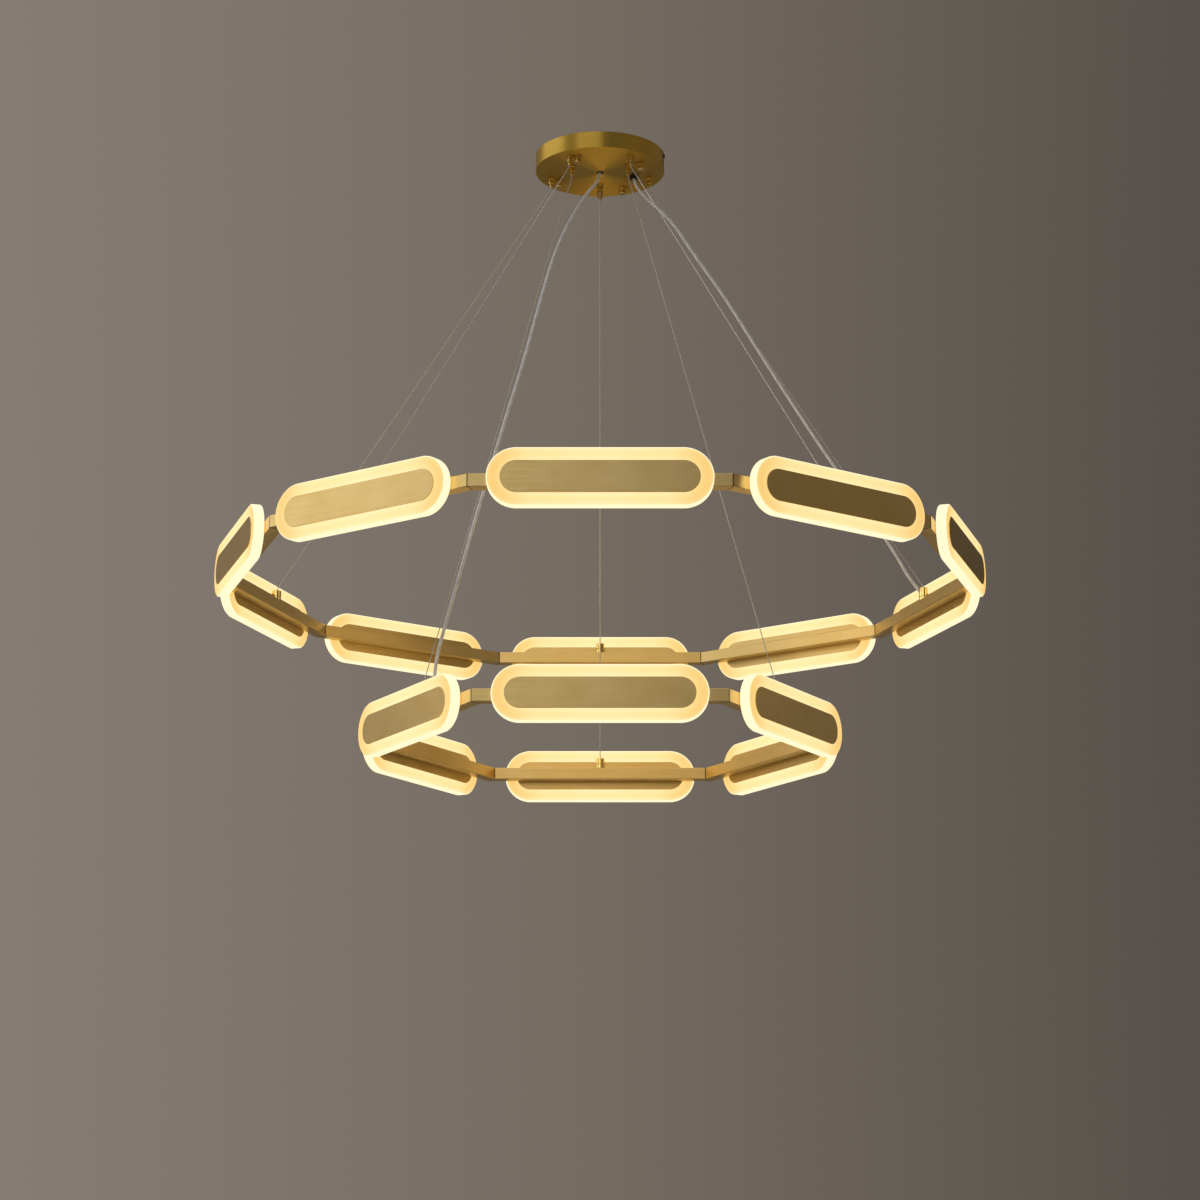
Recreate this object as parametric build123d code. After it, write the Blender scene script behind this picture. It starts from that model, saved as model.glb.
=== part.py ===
from build123d import *
import math
import os
from dataclasses import dataclass

os.makedirs("parts", exist_ok=True)

# Light panels: a frosted stadium clamped between two brass plates
panel_length = 300.0
panel_height = 80.0
panel_gap = 44.0  # between the ends of neighbouring panels, measured along the bars
diffuser_thickness = 15.0
diffuser_chamfer = 1.5
plate_margin = 18.0  # diffuser left showing round each plate
plate_thickness = 1.2
plate_rounding = 0.4
plate_overlap = 6.0  # diffuser clamped under each plate's edge
led_strip_thickness = 1.8
led_strip_width = 10.0
led_air_gap = 0.5  # between the LED strip and the diffuser
core_wall = 3.0
core_web = 14.0
wire_hole_diameter = 6.0

# Frame bars: hollow brass section, mitred at the corners
bar_depth = 20.0
bar_height = 18.0
bar_wall = 1.2
bar_rounding = 1.0
mitre_gap = 0.2
joiner_arm = 36.0
joiner_fit = 0.2
joiner_slot = 7.0

# Panel screws, driven from inside the bars
screw_diameter = 4.0
screw_head_diameter = 7.0
screw_head_height = 2.4
screw_depth = 9.0
screw_offset = 88.0
screw_clearance = 0.15

# Rings, hung one below the other
upper_sides = 10
lower_sides = 6
upper_drop = 655.0  # canopy underside to the upper ring's middle
ring_spacing = 240.0  # upper ring's middle to the lower ring's middle

# Cable anchors: spools on top of the bars
anchor_diameter = 14.4
anchor_height = 16.0
cord_anchor_height = 21.0
anchor_foot = 5.6
anchor_groove_height = 2.0
anchor_groove_depth = 1.4
anchor_rounding = 0.6
anchor_spigot_diameter = 8.0
anchor_spigot_length = 7.0
anchor_bore_depth = 5.0
spigot_clearance = 0.1
port_depth = 12.0  # where the cord port's axis meets the anchor's axis, below its top
port_angle = 45.0
wire_passage_diameter = 3.4

# Cables and power cords
cable_diameter = 1.5
cable_clearance = 0.35
cable_bend = 6.0
cable_exit = 2.0  # from a mouth to the bend beside it
cable_tail = 4.0
cord_diameter = 5.0
cord_clearance = 0.35
cord_end_inset = 2.5
cord_last_run = 27.5

# Canopy pan
canopy_diameter = 200.0
canopy_height = 26.0
canopy_wall = 1.2
canopy_rounding = 1.0
ceiling_gap = 1.0

# Ceiling bracket, studs and cap nuts
bracket_thickness = 2.0
bracket_width = 24.0
bracket_end = 11.0  # bracket beyond the middle of each stud
bracket_centre_hole = 14.0
ceiling_screw_circle = 120.0
ceiling_screw_diameter = 5.5
stud_inset = 28.0  # from the pan's outer edge
stud_azimuth = 61.0
stud_count = 4
stud_diameter = 4.0
stud_clearance = 0.3
stud_top_gap = 0.4
stud_nut_flats = 7.0
stud_nut_height = 3.2
stud_engagement = 6.0
cap_nut_diameter = 12.0
cap_nut_neck_diameter = 9.0
cap_nut_flange = 2.6
cap_nut_neck = 2.6
cap_nut_knob = 5.0
cap_nut_rounding = 1.0
cap_nut_gap = 0.2
turned_chamfer = 0.4  # on the lower edges of turned pieces

# Cable grippers
upper_gripper_inset = 20.0  # from the pan's outer edge
lower_gripper_radius = 50.0
gripper_collar_diameter = 10.0
gripper_collar_height = 2.5
gripper_barrel_diameter = 8.4
gripper_length = 10.0
gripper_spigot_diameter = 8.0
gripper_throat_length = 2.0
gripper_chamber_diameter = 6.8
plunger_diameter = 5.0
plunger_nose = 5.0
plunger_shoulder_diameter = 6.2
plunger_shoulder_height = 2.6
plunger_travel = 2.5
plunger_clearance = 0.3
plunger_seat_gap = 0.15
plunger_rounding = 0.9
spring_space = 2.4
lock_nut_flats = 11.0
lock_nut_height = 3.0
lock_nut_clearance = 0.1
spigot_above_nut = 1.5

# Cord grommets
centre_grommet_flange = 9.6
centre_grommet_height = 1.2
side_grommet_flange = 13.0
side_grommet_height = 4.0
side_grommet_radius = 55.0
grommet_neck_wall = 1.5
grommet_lip = 1.0
grommet_lip_height = 1.5
grommet_clearance = 0.15

# Electrical parts inside the pan
driver_height = 16.0
driver_rounding = 1.5
driver_clearance = 4.0  # between a driver and the grommets beside it
upper_driver_length = 58.0
upper_driver_shift = 15.5  # towards the back
lower_driver_width = 38.0
lower_driver_length = 50.0
lower_driver_shift = 12.0  # towards the back
terminal_size = (36.0, 20.0, 12.0)
terminal_place = (0.0, -45.0)
terminal_ways = 3
terminal_way_diameter = 5.0
terminal_way_depth = 6.0

# Side screw on the pan's wall
side_screw_diameter = 3.0
side_screw_head_diameter = 5.6
side_screw_head_height = 1.8
side_screw_recess = 3.2
side_screw_recess_width = 0.8
side_screw_nut_flats = 5.5
side_screw_nut_height = 2.4
side_screw_seat = 0.1  # between the nut and the curved wall
side_screw_azimuth = -10.0
side_screw_drop = 6.0  # below the pan's top edge

# Power cord routes, chosen by hand. The first list starts from the grommet, as (outward, beside, up from
# the pan's underside). The second follows the cable, as (share of its length, above it, beside it).
upper_cord_exit = [(0.0, 0.0, 5.0), (0.0, 0.0, -11.0), (20.0, -1.0, -34.0)]
upper_cord_route = [
    (0.08, -1.0, -4.5),
    (0.17, -3.0, -5.0),
    (0.27, -0.8, -5.0),
    (0.37, -4.5, -5.0),
    (0.47, -7.8, -5.0),
    (0.57, -10.2, -5.0),
    (0.665, -11.4, -5.0),
    (0.76, -10.5, -5.0),
    (0.84, -9.0, -4.0),
    (0.915, -8.5, -2.0),
]
lower_cord_exit = [(0.0, 0.0, 5.0), (0.0, 0.0, -11.0), (19.0, 1.0, -33.0), (46.0, 3.0, -74.0)]
lower_cord_route = [
    (0.14, -6.5, 5.0),
    (0.22, -5.2, 5.0),
    (0.3, -6.2, 5.0),
    (0.38, -7.0, 5.0),
    (0.46, -5.2, 5.0),
    (0.54, -4.6, 5.0),
    (0.62, -3.8, 5.0),
    (0.7, -3.4, 5.0),
    (0.78, -4.4, 5.0),
    (0.86, -4.8, 5.0),
    (0.93, -6.5, 3.0),
]

# Levels and radii worked out from the sizes above
canopy_radius = canopy_diameter / 2
canopy_top = -ceiling_gap
canopy_bottom = canopy_top - canopy_height
canopy_floor = canopy_bottom + canopy_wall
stud_radius = canopy_radius - stud_inset
upper_gripper_radius = canopy_radius - upper_gripper_inset
gripper_bottom = canopy_bottom - gripper_length
nose_bottom = gripper_bottom - plunger_nose
bar_length = panel_length + panel_gap
plate_length = panel_length - 2 * plate_margin
plate_height = panel_height - 2 * plate_margin
window_length = plate_length - 2 * plate_overlap
window_height = plate_height - 2 * plate_overlap
core_inset = led_strip_thickness + led_air_gap
core_length = window_length - 2 * core_inset
core_height = window_height - 2 * core_inset
cord_port_diameter = cord_diameter + 2 * cord_clearance
upright = Align.CENTER, Align.CENTER, Align.MIN
hanging = Align.CENTER, Align.CENTER, Align.MAX


@dataclass(frozen=True)
class Ring:
    """One ring: how many sides it has, where it hangs and what hangs it."""

    name: str
    sides: int
    level: float
    gripper_radius: float
    cable_sides: tuple
    cord_side: int

    @property
    def half_angle(self):
        return math.pi / self.sides

    @property
    def apothem(self):
        """Ring axis to the middle of a bar."""
        return bar_length / 2 / math.tan(self.half_angle)

    def azimuth(self, side):
        """Side 0 is at the back and the others follow clockwise, seen from above."""
        return 90 - side * 360 / self.sides

    def panel_plane(self, side):
        """Plane on a bar's outer face: x along the bar, y up, z outward."""
        outward = polar(1, self.azimuth(side), 0)
        along = polar(1, self.azimuth(side) + 90, 0)
        seat = outward * (self.apothem + bar_depth / 2) + Vector(0, 0, self.level)
        return Plane(origin=seat, x_dir=along, z_dir=outward)

    def plan_plane(self, azimuth):
        """Level plane through the ring's middle with y pointing out at the azimuth."""
        return Plane(origin=(0, 0, self.level), x_dir=polar(1, azimuth - 90, 0), z_dir=(0, 0, 1))

    def anchor_height(self, side):
        return cord_anchor_height if side == self.cord_side else anchor_height

    def anchor_top(self, side):
        return self.level + bar_height / 2 + self.anchor_height(side)


def polar(radius, azimuth, level):
    """Point at a radius and an azimuth in degrees, at a level."""
    angle = math.radians(azimuth)
    return Vector(radius * math.cos(angle), radius * math.sin(angle), level)


def save(node, shapes):
    """Write one node, which may hold several separate solids."""
    solids = [solid for shape in shapes for solid in shape.solids()]
    export_step(Compound(solids, label=node), f"parts/{node}.step")


def stadium(length, height, depth):
    return extrude(SlotOverall(length, height), amount=depth)


def drill(diameter, length, place):
    """Cutting cylinder that hangs down from a place."""
    return Pos(*place) * Cylinder(diameter / 2, length, align=hanging)


def foot_chamfered(turned):
    return chamfer(turned.faces().sort_by(Axis.Z)[0].edges(), turned_chamfer)


def hexagon_nut(flats, height, bore):
    nut = extrude(RegularPolygon(flats / 2, 6, major_radius=False), amount=height)
    return nut - Cylinder(bore / 2, 3 * height) if bore else nut


def tube(points, radii, diameter):
    """Round tube along straight runs joined by tangent arcs, with its volume compared."""
    path = FilletPolyline(*points, radius=radii)
    section = Plane(origin=path @ 0, z_dir=path % 0) * Circle(diameter / 2)
    swept = sweep(section, path=path)
    expected = math.pi * diameter**2 / 4 * path.length
    return swept, path.length, swept.volume / expected


# Light panels
def diffuser():
    body = stadium(panel_length, panel_height, diffuser_thickness)
    faces = body.faces().sort_by(Axis.Z)
    body = chamfer(faces[0].edges() + faces[-1].edges(), diffuser_chamfer)
    return Pos(0, 0, plate_thickness) * (body - stadium(window_length, window_height, diffuser_thickness))


def cover_plate():
    """Plate with the edge of its upper face rounded."""
    plate = stadium(plate_length, plate_height, plate_thickness)
    return fillet(plate.faces().sort_by(Axis.Z)[-1].edges(), plate_rounding)


def back_plate():
    plate = Pos(0, 0, plate_thickness) * Rot(180, 0, 0) * cover_plate()
    hole = Cylinder(screw_diameter / 2 + screw_clearance, 3 * plate_thickness)
    for x in screw_places():
        plate -= Pos(x, 0, 0) * hole
    return plate - Cylinder(wire_hole_diameter / 2, 3 * plate_thickness)


def front_plate():
    return Pos(0, 0, plate_thickness + diffuser_thickness) * cover_plate()


def led_core():
    frame = stadium(core_length, core_height, diffuser_thickness)
    hollow = stadium(core_length - 2 * core_wall, core_height - 2 * core_wall, diffuser_thickness)
    core = frame - hollow
    for x in screw_places():
        web = Box(core_web, core_height - core_wall, diffuser_thickness, align=upright)
        hole = Cylinder(screw_diameter / 2 + screw_clearance, screw_depth + screw_head_height, align=upright)
        core += Pos(x, 0, 0) * (web - hole)
    passage = Cylinder(wire_passage_diameter / 2, core_height / 2, align=upright)
    core -= Pos(0, 0, diffuser_thickness / 2) * Rot(90, 0, 0) * passage
    return Pos(0, 0, plate_thickness) * core


def led_strip():
    around = 2 * led_strip_thickness
    outer = stadium(core_length + around, core_height + around, led_strip_width)
    strip = outer - stadium(core_length, core_height, led_strip_width)
    return Pos(0, 0, plate_thickness + (diffuser_thickness - led_strip_width) / 2) * strip


def screw_places():
    return [-screw_offset, screw_offset]


def panel_screws():
    length = bar_wall + plate_thickness + screw_depth
    head = Cylinder(screw_head_diameter / 2, screw_head_height, align=hanging)
    screw = head + Cylinder(screw_diameter / 2, length, align=upright)
    return [Pos(x, 0, -bar_wall) * screw for x in screw_places()]


# Ring frames
def frame_bar(ring, side):
    """One hollow bar, cut on the ring's mitre planes, with its holes."""
    outer = ring.apothem + bar_depth
    inner = ring.apothem - bar_depth
    slope = math.tan(ring.half_angle)
    trim = mitre_gap / 2 / math.cos(ring.half_angle)
    corners = [
        (-outer * slope + trim, outer),
        (outer * slope - trim, outer),
        (inner * slope - trim, inner),
        (-inner * slope + trim, inner),
    ]
    wedge = extrude(make_face(Polyline(*corners, close=True)), amount=bar_height, both=True)
    section = RectangleRounded(bar_depth, bar_height, bar_rounding)
    section -= Rectangle(bar_depth - 2 * bar_wall, bar_height - 2 * bar_wall)
    long_bar = extrude(Plane.YZ * section, amount=bar_length, both=True)
    bar = Pos(0, ring.apothem, 0) * long_bar & wedge
    wall = Pos(0, ring.apothem + bar_depth / 2, 0) * Rot(90, 0, 0)
    for x in screw_places():
        bar -= Pos(x, 0, 0) * wall * Cylinder(screw_diameter / 2 + screw_clearance, 3 * bar_wall)
    bar -= wall * Cylinder(wire_hole_diameter / 2, 3 * bar_wall)
    if side in ring.cable_sides:
        hole = Cylinder(anchor_spigot_diameter / 2 + spigot_clearance, 3 * bar_wall)
        bar -= Pos(0, ring.apothem, bar_height / 2) * hole
    return ring.plan_plane(ring.azimuth(side)) * bar


def elbow_face(ring, width, arm):
    """Bent strip of a width round one corner of the bars' middle line, in plan."""
    cosine = math.cos(ring.half_angle)
    sine = math.sin(ring.half_angle)
    corner = ring.apothem / cosine
    half = width / 2
    tip = Vector(cosine * arm, corner - sine * arm)
    across = Vector(sine * half, cosine * half)
    points = [
        (0, corner + half / cosine),
        (tip.X + across.X, tip.Y + across.Y),
        (tip.X - across.X, tip.Y - across.Y),
        (0, corner - half / cosine),
        (-tip.X + across.X, tip.Y - across.Y),
        (-tip.X - across.X, tip.Y + across.Y),
    ]
    return make_face(Polyline(*points, close=True))


def corner_joiner(ring, side):
    """Elbow inside the two bars that meet at a corner, with a channel for the wires."""
    width = bar_depth - 2 * bar_wall - 2 * joiner_fit
    height = bar_height - 2 * bar_wall - 2 * joiner_fit
    elbow = extrude(elbow_face(ring, width, joiner_arm), amount=height / 2, both=True)
    elbow -= extrude(elbow_face(ring, joiner_slot, 2 * joiner_arm), amount=height)
    return ring.plan_plane(ring.azimuth(side + 0.5)) * elbow


def anchor_spool(height):
    """Spool with a groove, a spigot for the bar and a mouth for the cable at its top."""
    radius = anchor_diameter / 2
    spool = Cylinder(radius, height, align=upright)
    spool = fillet(spool.edges().filter_by(GeomType.CIRCLE), anchor_rounding)
    ring_cut = Cylinder(anchor_diameter, anchor_groove_height, align=upright)
    ring_cut -= Cylinder(radius - anchor_groove_depth, anchor_groove_height, align=upright)
    spool -= Pos(0, 0, anchor_foot) * ring_cut
    spool += Cylinder(anchor_spigot_diameter / 2, bar_wall + anchor_spigot_length, align=hanging)
    return spool - drill(cable_diameter + 2 * cable_clearance, anchor_bore_depth, (0, 0, height))


def cord_anchor():
    """Taller spool with a slanted side port, facing -y, and a wire passage down through it."""
    spool = anchor_spool(cord_anchor_height)
    port = Cylinder(cord_port_diameter / 2, 2 * anchor_diameter, align=upright)
    middle = Pos(0, 0, cord_anchor_height - port_depth)
    spool -= middle * Rot(90 - port_angle, 0, 0) * port
    return spool - middle * Cylinder(wire_passage_diameter / 2, 3 * cord_anchor_height, align=hanging)


def anchor_place(ring, side):
    seat = Pos(0, ring.apothem, bar_height / 2)
    return ring.plan_plane(ring.azimuth(side)).location * seat


# Canopy
def stud_azimuths():
    return [stud_azimuth + index * 360 / stud_count for index in range(stud_count)]


def gripper_places():
    """Middle of every gripper: first the upper ring's, then the lower ring's."""
    return [polar(ring.gripper_radius, ring.azimuth(side), 0) for ring in rings for side in ring.cable_sides]


def grommet_sizes():
    """Place, flange diameter and flange height of the two grommets."""
    side_place = polar(side_grommet_radius, upper_ring.azimuth(upper_ring.cord_side), 0)
    return [
        (Vector(0, 0, 0), centre_grommet_flange, centre_grommet_height),
        (side_place, side_grommet_flange, side_grommet_height),
    ]


def grommet_neck():
    return cord_diameter + 2 * grommet_clearance + 2 * grommet_neck_wall


def canopy_pan():
    pan = Pos(0, 0, canopy_bottom) * Cylinder(canopy_radius, canopy_height, align=upright)
    pan = fillet(pan.faces().sort_by(Axis.Z)[0].edges(), canopy_rounding)
    pan -= Pos(0, 0, canopy_floor) * Cylinder(canopy_radius - canopy_wall, canopy_height, align=upright)
    cutters = [(place, gripper_spigot_diameter + 2 * spigot_clearance) for place in gripper_places()]
    cutters += [(place, grommet_neck() + 2 * grommet_clearance) for place, _, _ in grommet_sizes()]
    cutters += [(polar(stud_radius, a, 0), stud_diameter + 2 * stud_clearance) for a in stud_azimuths()]
    for place, diameter in cutters:
        pan -= drill(diameter, 3 * canopy_wall, (place.X, place.Y, canopy_floor + canopy_wall))
    side_hole = Cylinder(side_screw_diameter / 2 + screw_clearance, 3 * canopy_wall)
    return pan - side_screw_place() * Rot(0, 90, 0) * side_hole


def side_screw_place():
    return Rot(0, 0, side_screw_azimuth) * Pos(canopy_radius, 0, canopy_top - side_screw_drop)


def side_screw():
    """Round-headed screw through the wall, with its nut inside."""
    head = Cylinder(side_screw_head_diameter / 2, side_screw_head_height, align=upright)
    head = fillet(head.faces().sort_by(Axis.Z)[-1].edges(), side_screw_head_height / 3)
    slot = Box(side_screw_recess, side_screw_recess_width, side_screw_head_height)
    head -= Pos(0, 0, side_screw_head_height) * (slot + Rot(0, 0, 90) * slot)
    reach = canopy_wall + side_screw_seat + side_screw_nut_height
    shank = Cylinder(side_screw_diameter / 2, reach, align=hanging)
    nut = Pos(0, 0, -reach) * hexagon_nut(side_screw_nut_flats, side_screw_nut_height, 0)
    return side_screw_place() * Rot(0, 90, 0) * (head + shank + nut)


def ceiling_bracket():
    """Two crossed strips with a hole for each stud, the ceiling screws and the mains cable."""
    length = 2 * (stud_radius + bracket_end)
    strip = Box(length, bracket_width, bracket_thickness, align=hanging)
    bracket = Rot(0, 0, stud_azimuth) * strip + Rot(0, 0, stud_azimuth + 90) * strip
    bracket -= drill(bracket_centre_hole, 3 * bracket_thickness, (0, 0, bracket_thickness))
    for azimuth in stud_azimuths():
        stud = polar(stud_radius, azimuth, bracket_thickness)
        screw = polar(ceiling_screw_circle / 2, azimuth, bracket_thickness)
        bracket -= drill(stud_diameter + 2 * spigot_clearance, 3 * bracket_thickness, tuple(stud))
        bracket -= drill(ceiling_screw_diameter, 3 * bracket_thickness, tuple(screw))
    return bracket


def bracket_stud():
    """Stud and its lock nut under the bracket, on the z axis."""
    length = -canopy_bottom + stud_engagement - stud_top_gap
    stud = Pos(0, 0, -stud_top_gap) * Cylinder(stud_diameter / 2, length, align=hanging)
    nut = hexagon_nut(stud_nut_flats, stud_nut_height, 0)
    return stud + Pos(0, 0, -bracket_thickness - stud_nut_height) * nut


def cap_nut():
    """Spool-shaped nut under the pan, on the z axis."""
    top = canopy_bottom - cap_nut_gap
    flange = Pos(0, 0, top) * foot_chamfered(Cylinder(cap_nut_diameter / 2, cap_nut_flange, align=hanging))
    neck = Pos(0, 0, top - cap_nut_flange) * Cylinder(cap_nut_neck_diameter / 2, cap_nut_neck, align=hanging)
    knob = Cylinder(cap_nut_diameter / 2, cap_nut_knob, align=hanging)
    knob = fillet(knob.edges().filter_by(GeomType.CIRCLE), cap_nut_rounding)
    nut = flange + neck + Pos(0, 0, top - cap_nut_flange - cap_nut_neck) * knob
    bore_depth = stud_engagement + stud_clearance
    return nut - drill(stud_diameter + 2 * stud_clearance, bore_depth, (0, 0, canopy_bottom))


def gripper_body():
    """Threaded gripper body on the z axis: collar, barrel, and a spigot up through the pan."""
    spigot_height = canopy_wall + lock_nut_height + spigot_above_nut
    body = foot_chamfered(Cylinder(gripper_collar_diameter / 2, gripper_collar_height, align=hanging))
    body += foot_chamfered(Cylinder(gripper_barrel_diameter / 2, gripper_length, align=hanging))
    body += Cylinder(gripper_spigot_diameter / 2, spigot_height, align=upright)
    body = Pos(0, 0, canopy_bottom) * body
    throat = plunger_diameter + 2 * plunger_clearance
    body -= drill(throat, 2 * gripper_throat_length, (0, 0, gripper_bottom + gripper_throat_length))
    chamber = Cylinder(gripper_chamber_diameter / 2, chamber_height(), align=upright)
    body -= Pos(0, 0, gripper_bottom + gripper_throat_length) * chamber
    return body - Pos(0, 0, canopy_bottom) * Cylinder(cable_diameter / 2 + cable_clearance, 9 * spigot_height)


def chamber_height():
    return plunger_seat_gap + plunger_shoulder_height + plunger_travel + spring_space


def gripper_plunger():
    """Sprung nose on the z axis, held in the gripper by its shoulder."""
    seat = gripper_bottom + gripper_throat_length + plunger_seat_gap
    stem = Pos(0, 0, nose_bottom) * Cylinder(plunger_diameter / 2, seat - nose_bottom, align=upright)
    stem = fillet(stem.faces().sort_by(Axis.Z)[0].edges(), plunger_rounding)
    stem += Pos(0, 0, seat) * Cylinder(plunger_shoulder_diameter / 2, plunger_shoulder_height, align=upright)
    return stem - Pos(0, 0, seat) * Cylinder(cable_diameter / 2 + cable_clearance, 9 * plunger_nose)


def lock_nut():
    bore = gripper_spigot_diameter + 2 * lock_nut_clearance
    return Pos(0, 0, canopy_floor) * hexagon_nut(lock_nut_flats, lock_nut_height, bore)


def grommet(flange, height):
    """Rubber grommet on the z axis, gripping the pan's floor between flange and lip."""
    neck = grommet_neck()
    body = Pos(0, 0, canopy_bottom) * Cylinder(flange / 2, height, align=hanging)
    body += Pos(0, 0, canopy_bottom) * Cylinder(neck / 2, canopy_wall + grommet_lip_height, align=upright)
    body += Pos(0, 0, canopy_floor) * Cylinder(neck / 2 + grommet_lip, grommet_lip_height, align=upright)
    return body - Pos(0, 0, canopy_bottom) * Cylinder(cord_diameter / 2 + grommet_clearance, 9 * height)


def driver(width, length, x, y):
    body = Pos(x, y, canopy_floor) * Box(width, length, driver_height, align=upright)
    return fillet(body.edges().filter_by(Axis.Z), driver_rounding)


def driver_edge():
    """Middle of a grommet to the near side of the driver beside it."""
    return grommet_neck() / 2 + grommet_lip + driver_clearance


def upper_driver():
    """Driver as wide as the room between the two grommets."""
    (centre, _, _), (side, _, _) = grommet_sizes()
    width = side.X - centre.X - 2 * driver_edge()
    return driver(width, upper_driver_length, (centre.X + side.X) / 2, upper_driver_shift)


def lower_driver():
    """Driver on the other side of the centre grommet."""
    x = -driver_edge() - lower_driver_width / 2
    return driver(lower_driver_width, lower_driver_length, x, lower_driver_shift)


def terminal_block():
    block = Pos(terminal_place[0], terminal_place[1], canopy_floor) * Box(*terminal_size, align=upright)
    pitch = terminal_size[0] / terminal_ways
    for way in range(terminal_ways):
        x = terminal_place[0] + (way - (terminal_ways - 1) / 2) * pitch
        mouth = (x, terminal_place[1], canopy_floor + terminal_size[2])
        block -= drill(terminal_way_diameter, terminal_way_depth, mouth)
    return block


# Cables and power cords
def cable_ends(ring, side):
    """Where the cable bends at its gripper and at its anchor, as (radius, level)."""
    return (ring.gripper_radius, nose_bottom - cable_exit), (ring.apothem, ring.anchor_top(side) + cable_exit)


def cable(ring, side):
    top, bottom = cable_ends(ring, side)
    azimuth = ring.azimuth(side)
    tail = canopy_floor + lock_nut_height + spigot_above_nut + cable_tail
    end = ring.anchor_top(side) - anchor_bore_depth + cable_clearance
    points = [
        polar(top[0], azimuth, tail),
        polar(top[0], azimuth, top[1]),
        polar(bottom[0], azimuth, bottom[1]),
        polar(bottom[0], azimuth, end),
    ]
    swept, length, share = tube(points, cable_bend, cable_diameter)
    print(f"{ring.name} cable {side}: length {length:.1f}, volume share {share:.4f}")
    return swept


def cord_points(ring, grommet_radius, exit_route, cable_route):
    """Middle line of a power cord: grommet, along the cable, then into the anchor's port."""
    azimuth = ring.azimuth(ring.cord_side)
    top, bottom = cable_ends(ring, ring.cord_side)
    run = Vector(bottom[0] - top[0], bottom[1] - top[1])
    above = Vector(-run.Y, run.X).normalized()
    places = [(grommet_radius + out, beside, canopy_bottom + up) for out, beside, up in exit_route]
    for share, lift, beside in cable_route:
        radius = top[0] + share * run.X + lift * above.X
        places.append((radius, beside, top[1] + share * run.Y + lift * above.Y))
    port_level = ring.anchor_top(ring.cord_side) - port_depth
    slant = math.radians(port_angle)
    for distance in (cord_end_inset + cord_last_run, cord_end_inset):
        places.append((ring.apothem - distance * math.cos(slant), 0, port_level + distance * math.sin(slant)))
    return [polar(r, azimuth, z) + polar(beside, azimuth + 90, 0) for r, beside, z in places]


def cord(ring, grommet_radius, exit_route, cable_route):
    points = cord_points(ring, grommet_radius, exit_route, cable_route)
    radii = []
    for before, here, after in zip(points, points[1:], points[2:]):
        turn = math.radians((here - before).get_angle(after - here))
        shorter = min((here - before).length, (after - here).length)
        radii.append(0.45 * shorter / math.tan(turn / 2))
    swept, length, share = tube(points, radii, cord_diameter)
    runs = [round((b - a).length) for a, b in zip(points, points[1:])]
    print(f"{ring.name} cord: length {length:.1f}, volume share {share:.4f}, runs {runs}")
    print(f"{ring.name} cord radii: {[round(radius) for radius in radii]}")
    return swept


upper_level = canopy_bottom - upper_drop
lower_level = upper_level - ring_spacing
upper_ring = Ring("upper", upper_sides, upper_level, upper_gripper_radius, tuple(range(0, upper_sides, 2)), 2)
lower_ring = Ring("lower", lower_sides, lower_level, lower_gripper_radius, tuple(range(0, lower_sides, 2)), 4)
rings = [upper_ring, lower_ring]

# Nodes of the canopy
save("ceiling_bracket", [ceiling_bracket()])
save("bracket_studs", [Pos(*polar(stud_radius, a, 0)) * bracket_stud() for a in stud_azimuths()])
save("canopy_pan", [canopy_pan()])
save("canopy_side_screw", [side_screw()])
save("upper_driver", [upper_driver()])
save("lower_driver", [lower_driver()])
save("terminal_block", [terminal_block()])
save("cord_grommets", [Pos(*place) * grommet(flange, height) for place, flange, height in grommet_sizes()])
save("gripper_bodies", [Pos(*place) * gripper_body() for place in gripper_places()])
save("gripper_lock_nuts", [Pos(*place) * lock_nut() for place in gripper_places()])
for index, azimuth in enumerate(stud_azimuths(), start=1):
    save(f"cap_nut_{index}", [Pos(*polar(stud_radius, azimuth, 0)) * cap_nut()])
for index, place in enumerate(gripper_places(), start=1):
    save(f"gripper_plunger_{index}", [Pos(*place) * gripper_plunger()])

# Nodes of the suspension
for ring in rings:
    save(f"{ring.name}_cables", [cable(ring, side) for side in ring.cable_sides])
save("upper_power_cord", [cord(upper_ring, side_grommet_radius, upper_cord_exit, upper_cord_route)])
save("lower_power_cord", [cord(lower_ring, 0.0, lower_cord_exit, lower_cord_route)])

# Nodes of the rings
for ring in rings:
    sides = range(ring.sides)
    planes = [ring.panel_plane(side) for side in sides]
    anchor_places = [anchor_place(ring, side) for side in ring.cable_sides if side != ring.cord_side]
    save(f"{ring.name}_frame_bars", [frame_bar(ring, side) for side in sides])
    save(f"{ring.name}_corner_joiners", [corner_joiner(ring, side) for side in sides])
    save(f"{ring.name}_cable_anchors", [place * anchor_spool(anchor_height) for place in anchor_places])
    save(f"{ring.name}_cord_anchor", [anchor_place(ring, ring.cord_side) * cord_anchor()])
    save(f"{ring.name}_back_plates", [plane * back_plate() for plane in planes])
    save(f"{ring.name}_front_plates", [plane * front_plate() for plane in planes])
    save(f"{ring.name}_led_cores", [plane * led_core() for plane in planes])
    save(f"{ring.name}_led_strips", [plane * led_strip() for plane in planes])
    save(f"{ring.name}_panel_screws", [plane * screw for plane in planes for screw in panel_screws()])
    for number, plane in enumerate(planes, start=1):
        save(f"{ring.name}_diffuser_{number:02d}", [plane * diffuser()])
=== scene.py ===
"""Looks of a two-tier ring chandelier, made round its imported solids.

Lengths are in metres. +Z is up, the ceiling is at zero, and the viewer stands on the -Y side.
"""

import logging
import math
from dataclasses import dataclass
from enum import Enum
from typing import Any, Mapping, Optional, Sequence, Union

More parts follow.
